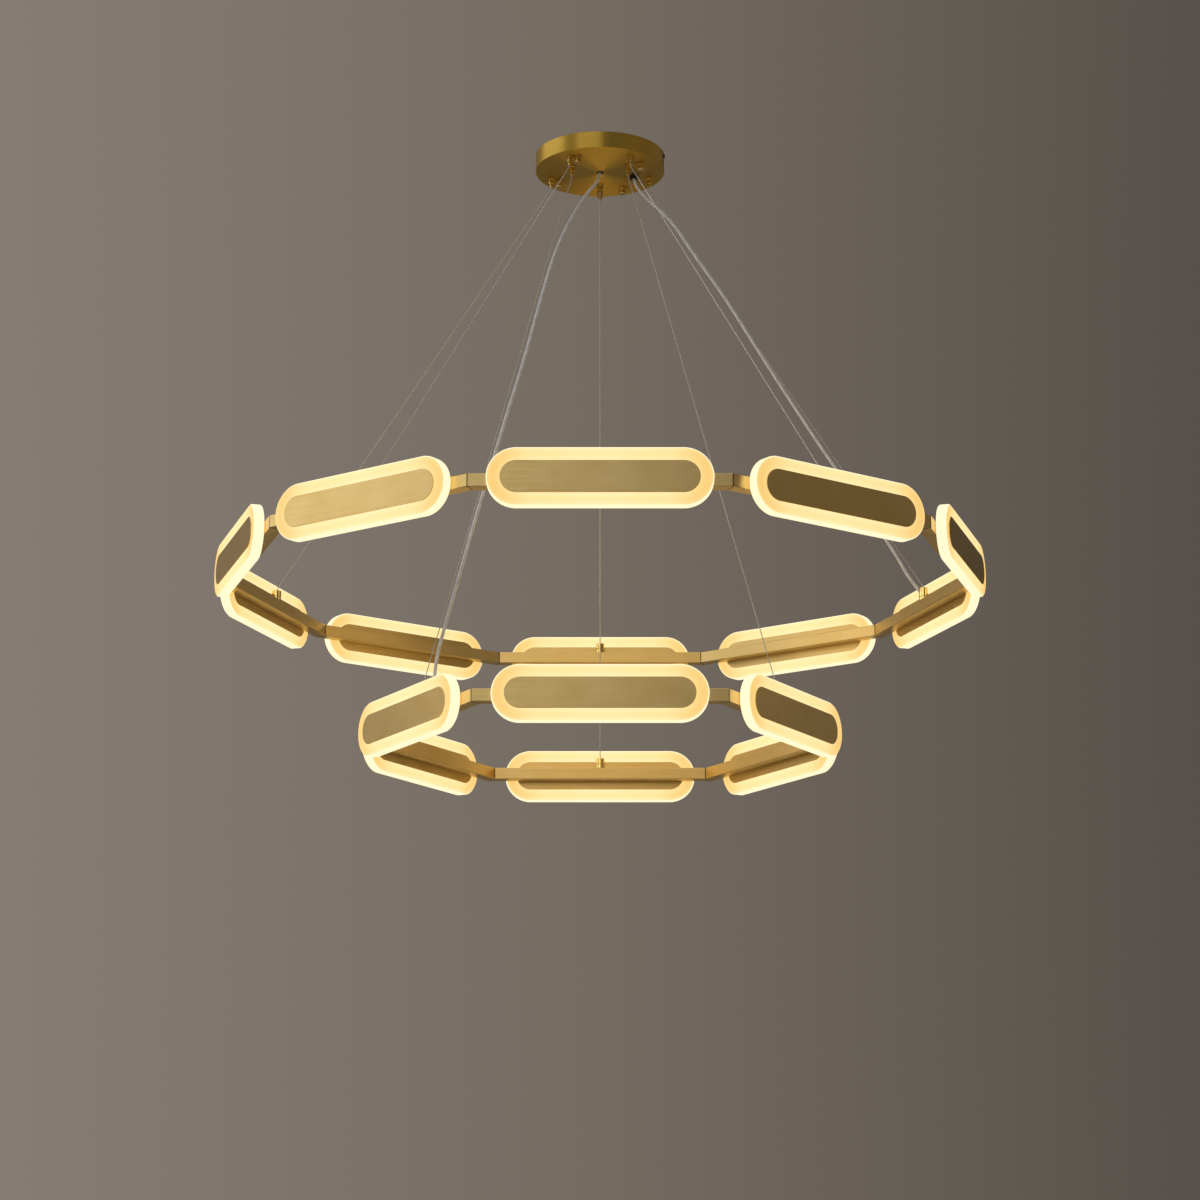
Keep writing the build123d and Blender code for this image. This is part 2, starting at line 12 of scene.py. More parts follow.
import bpy
from bpy.types import ID, Material, Node, NodeSocket, NodeTree, Object
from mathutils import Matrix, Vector

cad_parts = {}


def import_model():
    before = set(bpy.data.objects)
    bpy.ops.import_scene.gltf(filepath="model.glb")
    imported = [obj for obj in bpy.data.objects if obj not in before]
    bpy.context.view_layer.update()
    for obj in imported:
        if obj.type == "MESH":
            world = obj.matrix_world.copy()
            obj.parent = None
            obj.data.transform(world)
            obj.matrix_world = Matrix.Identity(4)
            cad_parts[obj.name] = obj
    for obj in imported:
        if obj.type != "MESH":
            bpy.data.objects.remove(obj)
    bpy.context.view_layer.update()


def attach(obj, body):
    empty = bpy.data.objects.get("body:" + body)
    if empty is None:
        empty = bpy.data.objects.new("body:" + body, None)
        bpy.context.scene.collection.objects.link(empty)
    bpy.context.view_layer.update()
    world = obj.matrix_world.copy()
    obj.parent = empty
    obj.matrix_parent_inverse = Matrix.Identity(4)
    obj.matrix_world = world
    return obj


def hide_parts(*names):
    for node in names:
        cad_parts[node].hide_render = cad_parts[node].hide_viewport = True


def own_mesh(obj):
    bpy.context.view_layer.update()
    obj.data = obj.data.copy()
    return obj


LOG = logging.getLogger("ring_chandelier")
FULL_TURN = 2 * math.pi
# Kinds of node that many trees use.
MATH, VECTOR_MATH, MAP_RANGE = "ShaderNodeMath", "ShaderNodeVectorMath", "ShaderNodeMapRange"
MIX, NOISE = "ShaderNodeMix", "ShaderNodeTexNoise"
SPLIT, JOIN = "ShaderNodeSeparateXYZ", "ShaderNodeCombineXYZ"
# Sockets of a colour Mix node go by number, because its hidden sockets have the same names.
MIX_SHARE, MIX_FROM, MIX_TO, MIX_RESULT = 0, 6, 7, 2
Point = tuple[float, float, float]
Span = tuple[float, float]


def linear(code: str) -> tuple[float, float, float, float]:
    """Turn an sRGB hex code into a linear colour.

    Args:
        code: Six hex digits, red first.

    Returns:
        Linear red, green, blue and an alpha of one.
    """
    shares = [int(code[place : place + 2], 16) / 255 for place in (0, 2, 4)]
    red, green, blue = (c / 12.92 if c <= 0.04045 else ((c + 0.055) / 1.055) ** 2.4 for c in shares)
    return red, green, blue, 1.0


def add_node(tree: NodeTree, kind: str, inputs: Optional[Mapping[Any, Any]] = None, **settings: Any) -> Node:
    """Add a node with its settings, values and links.

    Args:
        tree: Node tree that takes the node.
        kind: Blender's name for the kind of node.
        inputs: Value, socket or node for each input, by its name or number.
        settings: Attributes set on the node itself.

    Returns:
        The new node.
    """
    made = tree.nodes.new(kind)
    for name, value in settings.items():
        setattr(made, name, value)
    for key, value in (inputs or {}).items():
        if isinstance(value, Node):
            value = value.outputs[0]
        if isinstance(value, NodeSocket):
            tree.links.new(value, made.inputs[key])
        else:
            made.inputs[key].default_value = value
    return made


def new_material(name: str) -> tuple[Material, NodeTree]:
    """Make an empty node material.

    Args:
        name: Name of the finish.

    Returns:
        The material and its node tree.
    """
    material = bpy.data.materials.new(name)
    material.use_nodes = True
    material.node_tree.nodes.clear()
    return material, material.node_tree


def close_surface(tree: NodeTree, inputs: Mapping[str, Any]) -> None:
    """End a material's tree in one Principled surface.

    Args:
        tree: The material's node tree.
        inputs: Value or socket for each of the surface's inputs.
    """
    surface = add_node(tree, "ShaderNodeBsdfPrincipled", inputs)
    add_node(tree, "ShaderNodeOutputMaterial", {"Surface": surface})


def add_object(name: str, data: ID) -> Object:
    """Add an object to the scene.

    Args:
        name: Name of the object.
        data: Its mesh, curve, lamp or camera.

    Returns:
        The new object.
    """
    made = bpy.data.objects.new(name, data)
    bpy.context.scene.collection.objects.link(made)
    return made


def polar(radius: float, azimuth: float, height: float) -> Vector:
    """Point at a radius, an azimuth in degrees and a height."""
    angle = math.radians(azimuth)
    return Vector((radius * math.cos(angle), radius * math.sin(angle), height))


class Groove(Enum):
    """Which way a brass surface was brushed."""

    ALONG_SIDE = "along one side of a ring"
    ROUND_AXIS = "round the vertical axis"
    TURNED = "round a small turned piece"


@dataclass(frozen=True)
class SideFrame:
    """Coordinates that follow each side of a ring, for finishes that run along it."""

    sides: int
    level: float

    @property
    def half_angle(self) -> float:
        """Half the angle of one side, in radians."""
        return math.pi / self.sides

    def place(self, tree: NodeTree) -> Node:
        """Add the side frame to a material.

        Args:
            tree: The material's node tree.

        Returns:
            Node with the outputs Along, Radius, Height, Groove and Outward.
        """
        name = f"side_of_{self.sides}"
        group = bpy.data.node_groups.get(name) or self.make_group(name)
        return add_node(tree, "ShaderNodeGroup", node_tree=group)

    def make_group(self, name: str) -> NodeTree:
        """Build the node group.

        Args:
            name: Name of the group.

        Returns:
            The node group.
        """
        tree = bpy.data.node_groups.new(name, "ShaderNodeTree")
        kinds = {"Along": "Float", "Radius": "Float", "Height": "Float"}
        kinds |= {"Groove": "Vector", "Outward": "Vector"}
        for output, kind in kinds.items():
            tree.interface.new_socket(output, in_out="OUTPUT", socket_type=f"NodeSocket{kind}")
        place = add_node(tree, "ShaderNodeTexCoord").outputs["Object"]
        axes = add_node(tree, SPLIT, {0: place}).outputs
        angle = add_node(tree, MATH, {0: axes[1], 1: axes[0]}, operation="ARCTAN2")
        # Side 0 is at the back, so the angles snap to steps that start there.
        back = math.pi / 2
        lead = self.half_angle - back
        ahead = add_node(tree, MATH, {0: angle, 1: lead}, operation="ADD")
        step = add_node(tree, MATH, {0: ahead, 1: 2 * self.half_angle}, operation="SNAP")
        middle = add_node(tree, MATH, {0: step, 1: back}, operation="ADD")
        cosine = add_node(tree, MATH, {0: middle}, operation="COSINE")
        sine = add_node(tree, MATH, {0: middle}, operation="SINE")
        minus = add_node(tree, MATH, {0: sine, 1: -1.0}, operation="MULTIPLY")
        outward = add_node(tree, JOIN, {0: cosine, 1: sine})
        groove = add_node(tree, JOIN, {0: minus, 1: cosine})
        radius = add_node(tree, VECTOR_MATH, {0: place, 1: outward}, operation="DOT_PRODUCT")
        along = add_node(tree, VECTOR_MATH, {0: place, 1: groove}, operation="DOT_PRODUCT")
        height = add_node(tree, MATH, {0: axes[2], 1: self.level}, operation="SUBTRACT")
        ends = {
            "Along": along.outputs["Value"],
            "Radius": radius.outputs["Value"],
            "Height": height,
            "Groove": groove,
            "Outward": outward,
        }
        add_node(tree, "NodeGroupOutput", ends)
        return tree


@dataclass(frozen=True)
class BrushedBrass:
    """Lacquered cartridge brass, brushed to fine grooves.

    The grooves stretch a reflection across themselves, and the lacquer leaves faint cloudy tones.
    """

    name: str
    groove: Groove
    roughness: float
    anisotropy: float
    side: Optional[SideFrame] = None
    mitred: bool = False
    bright: str = "EBD08F"
    deep: str = "DFC077"
    tone_span: Span = (0.55, 1.45)  # grain and cloud together, from the deep tone to the bright one
    cloud_width: float = 0.045
    groove_width: float = 0.0007  # real grooves are near 0.1 mm; drawn coarser so that they show
    groove_run: float = 0.07
    groove_detail: float = 3.0
    groove_depth: float = 0.0001
    groove_strength: float = 0.06
    grain_span: Span = (0.3, 0.7)
    rough_swing: float = 0.03
    seam: str = "4A3410"
    seam_span: Span = (0.0005, 0.0013)  # the real gap is 0.2 mm; drawn about 1 mm so that it shows
    seam_share: float = 0.85

    def build(self) -> Material:
        """Make the material.

        Returns:
            The brass material.
        """
        material, tree = new_material(self.name)
        normal = add_node(tree, "ShaderNodeNewGeometry").outputs["Normal"]
        place = add_node(tree, "ShaderNodeTexCoord").outputs["Object"]
        grain, direction, frame = self.grain(tree, place)
        cloud = add_node(tree, NOISE, {"Vector": place, "Scale": 1 / self.cloud_width})
        both = add_node(tree, MATH, {0: grain, 1: cloud}, operation="ADD")
        low, high = self.tone_span
        share = add_node(tree, MAP_RANGE, {"Value": both, "From Min": low, "From Max": high})
        shades = {MIX_SHARE: share, MIX_FROM: linear(self.deep), MIX_TO: linear(self.bright)}
        tone = add_node(tree, MIX, shades, data_type="RGBA").outputs[MIX_RESULT]
        if self.mitred and frame is not None:
            tone = self.mitre_seam(tree, frame, tone)
        # A groove's bright ridge is polished, and its floor stays rougher.
        low, high = self.grain_span
        polish = {
            "Value": grain,
            "From Min": low,
            "From Max": high,
            "To Min": self.roughness + self.rough_swing,
            "To Max": self.roughness - self.rough_swing,
        }
        rough = add_node(tree, MAP_RANGE, polish)
        depth = {"Strength": self.groove_strength, "Distance": self.groove_depth, "Height": grain}
        inputs = {
            "Base Color": tone,
            "Metallic": 1.0,
            "Roughness": rough,
            "Anisotropic": self.anisotropy,
            "Normal": add_node(tree, "ShaderNodeBump", depth),
        }
        if direction is not None:
            across = {0: normal, 1: direction}
            inputs["Tangent"] = add_node(tree, VECTOR_MATH, across, operation="CROSS_PRODUCT")
        close_surface(tree, inputs)
        return material

    def grain(
        self, tree: NodeTree, place: NodeSocket
    ) -> tuple[NodeSocket, Optional[NodeSocket], Optional[Node]]:
        """Add the groove pattern.

        Args:
            tree: The material's node tree.
            place: Object coordinates.

        Returns:
            The pattern, the direction of the grooves and the side frame, where there are such.
        """
        fine, slow = 1 / self.groove_width, 1 / self.groove_run
        direction, frame = None, None
        if self.groove is Groove.ALONG_SIDE and self.side is not None:
            frame = self.side.place(tree)
            parts = {0: frame.outputs["Along"], 1: frame.outputs["Height"], 2: frame.outputs["Radius"]}
            joined = add_node(tree, JOIN, parts)
            scaled = {0: joined, 1: (slow, fine, fine)}
            where = add_node(tree, VECTOR_MATH, scaled, operation="MULTIPLY")
            direction = frame.outputs["Groove"]
        elif self.groove is Groove.ROUND_AXIS:
            height = add_node(tree, SPLIT, {0: place}).outputs[2]
            flat = add_node(tree, VECTOR_MATH, {0: place, 1: (1, 1, 0)}, operation="MULTIPLY")
            radius = add_node(tree, VECTOR_MATH, {0: flat}, operation="LENGTH").outputs["Value"]
            heading = add_node(tree, VECTOR_MATH, {0: flat}, operation="NORMALIZE")
            turn = add_node(tree, SPLIT, {0: heading}).outputs
            minus = add_node(tree, MATH, {0: turn[1], 1: -1.0}, operation="MULTIPLY")
            direction = add_node(tree, JOIN, {0: minus, 1: turn[0]}).outputs[0]
            rings = add_node(tree, MATH, {0: radius, 1: height}, operation="SUBTRACT")
            fast = add_node(tree, MATH, {0: rings, 1: fine}, operation="MULTIPLY")
            where = add_node(tree, JOIN, {0: fast, 1: turn[0], 2: turn[1]})
        else:
            scaled = {0: place, 1: (slow, slow, fine)}
            where = add_node(tree, VECTOR_MATH, scaled, operation="MULTIPLY")
        pattern = {"Vector": where, "Scale": 1.0, "Detail": self.groove_detail}
        return add_node(tree, NOISE, pattern).outputs["Fac"], direction, frame

    def mitre_seam(self, tree: NodeTree, frame: Node, tone: NodeSocket) -> NodeSocket:
        """Darken a hairline where two bars meet at a corner.

        Args:
            tree: The material's node tree.
            frame: The side frame.
            tone: Colour of the brass.

        Returns:
            Colour with the seam.
        """
        along = add_node(tree, MATH, {0: frame.outputs["Along"]}, operation="ABSOLUTE")
        slope = math.tan(self.side.half_angle)
        edge = add_node(tree, MATH, {0: frame.outputs["Radius"], 1: slope}, operation="MULTIPLY")
        away = add_node(tree, MATH, {0: edge, 1: along}, operation="SUBTRACT")
        low, high = self.seam_span
        fade = {"Value": away, "From Min": low, "From Max": high, "To Min": self.seam_share, "To Max": 0.0}
        line = add_node(tree, MAP_RANGE, fade)
        shades = {MIX_SHARE: line, MIX_FROM: tone, MIX_TO: linear(self.seam)}
        return add_node(tree, MIX, shades, data_type="RGBA").outputs[MIX_RESULT]


def turned_brass(name: str) -> BrushedBrass:
    """Finish of the small lathe-turned pieces.

    It is smoother and paler than brushed brass, so each piece shows one bright glint.

    Args:
        name: Name of the finish.

    Returns:
        The finish.
    """
    return BrushedBrass(
        name,
        Groove.TURNED,
        roughness=0.2,
        anisotropy=0.0,
        bright="EFDA92",
        deep="D6B660",
        groove_width=0.0006,  # real turning marks are near 0.1 mm; drawn coarser so that they show
        groove_detail=2.0,
    )


@dataclass(frozen=True)
class FrostedAcrylic:
    """Cast opal acrylic, satin sawn faces, lit from inside by a warm white LED strip.

    Light runs through to the rim, which shows near white. The rounded ends lie further from the
    strip and show more amber.
    """

    name: str
    side: SideFrame
    straight_half: float = 0.110
    plate_edge: float = 0.022
    rim: float = 0.040
    middle: str = "FDE5AC"
    shoulder: str = "FBE1A4"
    shoulder_at: float = 0.55
    end: str = "EFCA7E"
    end_at: float = 0.95
    edge: str = "FFEFC6"
    full: str = "FFFFFF"
    dimmed: str = "FCF6E8"
    dimmed_at: float = 0.5
    body: str = "6E6048"
    strength: float = 1.1
    face_cosine: float = 0.95
    wall_cosine: float = 0.8
    frost_scale: float = 900.0  # cells of 1.1 mm; real frost is far finer, drawn coarser so that it shows
    frost_depth: float = 0.0002
    frost_strength: float = 0.1
    rough_span: Span = (0.42, 0.58)
    ior: float = 1.49

    def build(self) -> Material:
        """Make the material.

        Returns:
            The acrylic material.
        """
        material, tree = new_material(self.name)
        frame = self.side.place(tree).outputs
        place = add_node(tree, "ShaderNodeTexCoord").outputs["Object"]
        frost = add_node(tree, NOISE, {"Vector": place, "Scale": self.frost_scale})
        depth = {"Strength": self.frost_strength, "Distance": self.frost_depth, "Height": frost}
        low, high = self.rough_span
        inputs = {
            "Base Color": linear(self.body),
            "Roughness": add_node(tree, MAP_RANGE, {"Value": frost, "To Min": low, "To Max": high}),
            "IOR": self.ior,
            "Normal": add_node(tree, "ShaderNodeBump", depth),
            "Emission Color": self.light(tree, frame),
            "Emission Strength": self.strength,
        }
        close_surface(tree, inputs)
        return material

    def light(self, tree: NodeTree, frame: Mapping[str, NodeSocket]) -> NodeSocket:
        """Add the colour of the light that leaves the panel.

        Args:
            tree: The material's node tree.
            frame: Sockets of the side frame.

        Returns:
            The colour.
        """
        along = add_node(tree, MATH, {0: frame["Along"]}, operation="ABSOLUTE")
        half_length = self.straight_half + self.rim
        run = add_node(tree, MAP_RANGE, {"Value": along, "From Max": half_length})
        ramp = add_node(tree, "ShaderNodeValToRGB", {0: run})
        ramp.color_ramp.interpolation = "EASE"
        stops = ramp.color_ramp.elements
        stops[0].color, stops[1].color = linear(self.middle), linear(self.end)
        stops[1].position = self.end_at
        stops.new(self.shoulder_at).color = linear(self.shoulder)
        # Share of the way from the plate's edge out to the rim: the light dips between the two.
        past = add_node(tree, MATH, {0: along, 1: self.straight_half}, operation="SUBTRACT")
        bent = add_node(tree, MATH, {0: past, 1: 0.0}, operation="MAXIMUM")
        joined = add_node(tree, JOIN, {0: bent, 1: frame["Height"]})
        reach = add_node(tree, VECTOR_MATH, {0: joined}, operation="LENGTH").outputs["Value"]
        band = {"Value": reach, "From Min": self.plate_edge, "From Max": self.rim}
        glow = add_node(tree, "ShaderNodeValToRGB", {0: add_node(tree, MAP_RANGE, band)})
        glow.color_ramp.interpolation = "EASE"
        stops = glow.color_ramp.elements
        stops[0].color = stops[1].color = linear(self.full)
        stops.new(self.dimmed_at).color = linear(self.dimmed)
        shades = {MIX_SHARE: 1.0, MIX_FROM: ramp, MIX_TO: glow}
        face = add_node(tree, MIX, shades, data_type="RGBA", blend_type="MULTIPLY")
        # The rim's chamfers and walls turn away from the panel's face.
        facets = {0: add_node(tree, "ShaderNodeNewGeometry").outputs["True Normal"], 1: frame["Outward"]}
        facing = add_node(tree, VECTOR_MATH, facets, operation="DOT_PRODUCT").outputs["Value"]
        flat = add_node(tree, MATH, {0: facing}, operation="ABSOLUTE")
        turned = {"Value": flat, "From Min": self.face_cosine, "From Max": self.wall_cosine}
        wall = add_node(tree, MAP_RANGE, turned)
        shades = {MIX_SHARE: wall, MIX_FROM: face.outputs[MIX_RESULT], MIX_TO: linear(self.edge)}
        return add_node(tree, MIX, shades, data_type="RGBA").outputs[MIX_RESULT]


@dataclass(frozen=True)
class PlatedMetal:
    """Plated or bare metal; zinc-plated steel unless told otherwise.

    Fine cells of two tones give a cool and slightly cloudy sheen. A thread shows as close ridges.
    """

    name: str
    bright: str = "C3C6C8"
    dull: str = "9DA2A6"
    metallic: float = 1.0
    roughness: float = 0.36
    rough_swing: float = 0.06
    spangle: float = 0.004
    thread_pitch: float = 0.0
    thread_depth: float = 0.0003
    thread_strength: float = 0.5

    def build(self) -> Material:
        """Make the material.

        Returns:
            The metal material.
        """
        material, tree = new_material(self.name)
        place = add_node(tree, "ShaderNodeTexCoord").outputs["Object"]
        cells = add_node(tree, "ShaderNodeTexVoronoi", {"Vector": place, "Scale": 1 / self.spangle})
        shade = add_node(tree, "ShaderNodeSeparateColor", {0: cells.outputs["Color"]}).outputs[0]
        shades = {MIX_SHARE: shade, MIX_FROM: linear(self.dull), MIX_TO: linear(self.bright)}
        colour = add_node(tree, MIX, shades, data_type="RGBA").outputs[MIX_RESULT]
        low, high = self.roughness - self.rough_swing, self.roughness + self.rough_swing
        rough = add_node(tree, MAP_RANGE, {"Value": shade, "To Min": low, "To Max": high})
        inputs = {"Base Color": colour, "Metallic": self.metallic, "Roughness": rough}
        if self.thread_pitch:
            height = add_node(tree, SPLIT, {0: place}).outputs[2]
            turns = {0: height, 1: FULL_TURN / self.thread_pitch}
            phase = add_node(tree, MATH, turns, operation="MULTIPLY")
            ridge = add_node(tree, MATH, {0: phase}, operation="SINE")
            depth = {"Strength": self.thread_strength, "Distance": self.thread_depth, "Height": ridge}
            inputs["Normal"] = add_node(tree, "ShaderNodeBump", depth)
        close_surface(tree, inputs)
        return material


@dataclass(frozen=True)
class MouldedPolymer:
    """Moulded plastic or rubber with a fine spark-eroded texture.

    The texture spreads the gloss to a soft sheen, and the colour drifts a little across the piece.
    """

    name: str
    colour: str
    shade: str
    roughness: float
    ior: float
    rough_swing: float = 0.05
    texture: float = 0.0008
    texture_depth: float = 0.0001
    texture_strength: float = 0.15
    drift_scale: float = 60.0  # patches of about 17 mm

    def build(self) -> Material:
        """Make the material.

        Returns:
            The polymer material.
        """
        material, tree = new_material(self.name)
        place = add_node(tree, "ShaderNodeTexCoord").outputs["Object"]
        texture = add_node(tree, NOISE, {"Vector": place, "Scale": 1 / self.texture})
        drift = add_node(tree, NOISE, {"Vector": place, "Scale": self.drift_scale})
        shades = {MIX_SHARE: drift, MIX_FROM: linear(self.shade), MIX_TO: linear(self.colour)}
        low, high = self.roughness - self.rough_swing, self.roughness + self.rough_swing
        depth = {"Strength": self.texture_strength, "Distance": self.texture_depth, "Height": texture}
        inputs = {
            "Base Color": add_node(tree, MIX, shades, data_type="RGBA").outputs[MIX_RESULT],
            "Roughness": add_node(tree, MAP_RANGE, {"Value": texture, "To Min": low, "To Max": high}),
            "IOR": self.ior,
            "Normal": add_node(tree, "ShaderNodeBump", depth),
        }
        close_surface(tree, inputs)
        return material


@dataclass(frozen=True)
class LedTape:
    """White flexible board with a row of phosphor LEDs, seen as yellow dashes that glow."""

    name: str
    side: SideFrame
    pitch: float = 0.0083
    board: str = "F2EFE6"
    phosphor: str = "F7DE73"
    chip_span: Span = (0.1, 0.3)  # part of the row's wave where the board ends and a chip begins
    roughness: float = 0.45
    strength: float = 1.0

    def build(self) -> Material:
        """Make the material.

        Returns:
            The LED tape material.
        """
        material, tree = new_material(self.name)
        frame = self.side.place(tree).outputs
        along = {0: frame["Along"], 1: FULL_TURN / self.pitch}
        phase = add_node(tree, MATH, along, operation="MULTIPLY")
        wave = add_node(tree, MATH, {0: phase}, operation="COSINE")
        low, high = self.chip_span
        chip = add_node(tree, MAP_RANGE, {"Value": wave, "From Min": low, "From Max": high})
        shades = {MIX_SHARE: chip, MIX_FROM: linear(self.board), MIX_TO: linear(self.phosphor)}
        colour = add_node(tree, MIX, shades, data_type="RGBA").outputs[MIX_RESULT]
        inputs = {
            "Base Color": colour,
            "Roughness": self.roughness,
            "Emission Color": colour,
            "Emission Strength": self.strength,
        }
        close_surface(tree, inputs)
        return material


@dataclass(frozen=True)
class ClearJacket:
    """Clear extruded PVC over twisted tinned conductors.

    The jacket reads as a milky grey tube with a soft gloss, and the conductors show through it as
    faint slanting bands.
    """

    name: str
    jacket: str = "EAEDF2"
    conductor: str = "DFE2E6"
    lay_length: float = 0.022
    band_span: Span = (-0.6, 0.6)
    roughness: float = 0.34
    ior: float = 1.53

    def build(self) -> Material:
        """Make the material.

        Returns:
            The cord material.
        """
        material, tree = new_material(self.name)
        along = add_node(tree, "ShaderNodeAttribute", attribute_name="along").outputs["Fac"]
        around = add_node(tree, "ShaderNodeAttribute", attribute_name="around").outputs["Vector"]
        turn = {0: along, 1: FULL_TURN / self.lay_length}
        phase = add_node(tree, MATH, turn, operation="MULTIPLY")
        cosine = add_node(tree, MATH, {0: phase}, operation="COSINE")
        sine = add_node(tree, MATH, {0: phase}, operation="SINE")
        heading = add_node(tree, JOIN, {0: cosine, 1: sine})
        wave = add_node(tree, VECTOR_MATH, {0: around, 1: heading}, operation="DOT_PRODUCT")
        low, high = self.band_span
        slant = {"Value": wave.outputs["Value"], "From Min": low, "From Max": high}
        band = add_node(tree, MAP_RANGE, slant)
        shades = {MIX_SHARE: band, MIX_FROM: linear(self.jacket), MIX_TO: linear(self.conductor)}
        colour = add_node(tree, MIX, shades, data_type="RGBA").outputs[MIX_RESULT]
        close_surface(tree, {"Base Color": colour, "Roughness": self.roughness, "IOR": self.ior})
        return material


@dataclass(frozen=True)
class SteelRope:
    """Drawn stainless rope, laid from strands of fine wire.

    The wires are too thin to draw and scatter light, so the rope reads as a pale dull line and is
    only partly metallic. Its twisted strands show from close by, with painted shade as a darker
    tone in the valleys between them.
    """

    name: str
    bright: str = "E4DFD6"
    # Darker tone of the valleys between strands: painted shade, not a different steel.
    valley: str = "C4BFB6"
    metallic: float = 0.25
    roughness: float = 0.45

    def build(self) -> Material:
        """Make the material.

        Returns:
            The rope material.
        """
        material, tree = new_material(self.name)
        crown = add_node(tree, "ShaderNodeAttribute", attribute_name="crown").outputs["Fac"]
        # The crown mark blends from the painted shade of the valleys to the crowns' own tone.
        shades = {MIX_SHARE: crown, MIX_FROM: linear(self.valley), MIX_TO: linear(self.bright)}
        colour = add_node(tree, MIX, shades, data_type="RGBA").outputs[MIX_RESULT]
        close_surface(tree, {"Base Color": colour, "Metallic": self.metallic, "Roughness": self.roughness})
        return material


Finish = Union[BrushedBrass, FrostedAcrylic, PlatedMetal, MouldedPolymer, LedTape]


class SweptPiece:
    """A route laid as one NURBS spline, and the mesh that Geometry Nodes sweep along it."""

    ORDER = 3
    RESOLUTION = 12

    def __init__(self, name: str, route: Sequence[Vector]) -> None:
        """Lay the route.

        Args:
            name: Name of the finished piece.
            route: Control points.
        """
        self.name = name
        curve = bpy.data.curves.new(f"{name}_route", "CURVE")
        curve.dimensions = "3D"
        curve.resolution_u = self.RESOLUTION
        spline = curve.splines.new("NURBS")
        spline.points.add(len(route) - 1)
        for point, place in zip(spline.points, route):
            point.co = (*place, 1.0)
        spline.order_u = self.ORDER
        spline.use_endpoint_u = True
        self.route = add_object(f"{name}_route", curve)
        bare = bpy.data.meshes.new_from_object(self.route)
        self.line: list[Point] = [tuple(vertex.co) for vertex in bare.vertices]
        bpy.data.meshes.remove(bare)

    def sweep(self, tree: NodeTree, values: Mapping[str, Any]) -> Object:
        """Sweep the section and keep the result as a plain mesh.

        Args:
            tree: Geometry Nodes tree.
            values: Value for each of the tree's named inputs.

        Returns:
            The finished piece, at the origin.
        """
        modifier = self.route.modifiers.new("section", "NODES")
        modifier.node_group = tree
        for item in tree.interface.items_tree:
            if item.item_type == "SOCKET" and item.in_out == "INPUT" and item.name in values:
                modifier[item.identifier] = values[item.name]
        bpy.context.view_layer.update()
        graph = bpy.context.evaluated_depsgraph_get()
        mesh = bpy.data.meshes.new_from_object(self.route.evaluated_get(graph), depsgraph=graph)
        mesh.name = self.name
        piece = add_object(self.name, mesh)
        curve = self.route.data
        bpy.data.objects.remove(self.route)
        bpy.data.curves.remove(curve)
        return piece


def section_tree(name: str, extra: Mapping[str, str]) -> tuple[NodeTree, Mapping[str, NodeSocket], Node]:
    """Start a Geometry Nodes tree that takes a curve and spaces its points evenly.

    Args:
        name: Name of the tree.
        extra: Kind of socket for each named input besides Radius, Step and Finish.

    Returns:
        The tree, the sockets of its inputs, and the node that gives the even curve.
    """
    tree = bpy.data.node_groups.new(name, "GeometryNodeTree")
    kinds = {
        "Geometry": "Geometry",
        "Radius": "Float",
        "Step": "Float",
        "Finish": "Material",
        **extra,
    }
    for label, kind in kinds.items():
        tree.interface.new_socket(label, in_out="INPUT", socket_type=f"NodeSocket{kind}")
    tree.interface.new_socket("Geometry", in_out="OUTPUT", socket_type="NodeSocketGeometry")
    take = tree.nodes.new("NodeGroupInput").outputs
    spacing = {"Curve": take["Geometry"], "Length": take["Step"]}
    return tree, take, add_node(tree, "GeometryNodeResampleCurve", spacing, mode="LENGTH")


def close_section(tree: NodeTree, curve: Node, profile: Node, finish: NodeSocket) -> None:
    """Sweep a profile along a curve and end the tree.

    Args:
        tree: Geometry Nodes tree.
        curve: Node that gives the curve.
        profile: Node that gives the profile.
        finish: Socket that gives the material.
    """
    lines = {"Curve": curve, "Profile Curve": profile, "Fill Caps": True}
    sweep = add_node(tree, "GeometryNodeCurveToMesh", lines)
    smooth = add_node(tree, "GeometryNodeSetShadeSmooth", {"Geometry": sweep})
    plain = add_node(tree, "GeometryNodeRealizeInstances", {"Geometry": smooth})
    dressed = add_node(tree, "GeometryNodeSetMaterial", {"Geometry": plain, "Material": finish})
    add_node(tree, "NodeGroupOutput", {"Geometry": dressed})


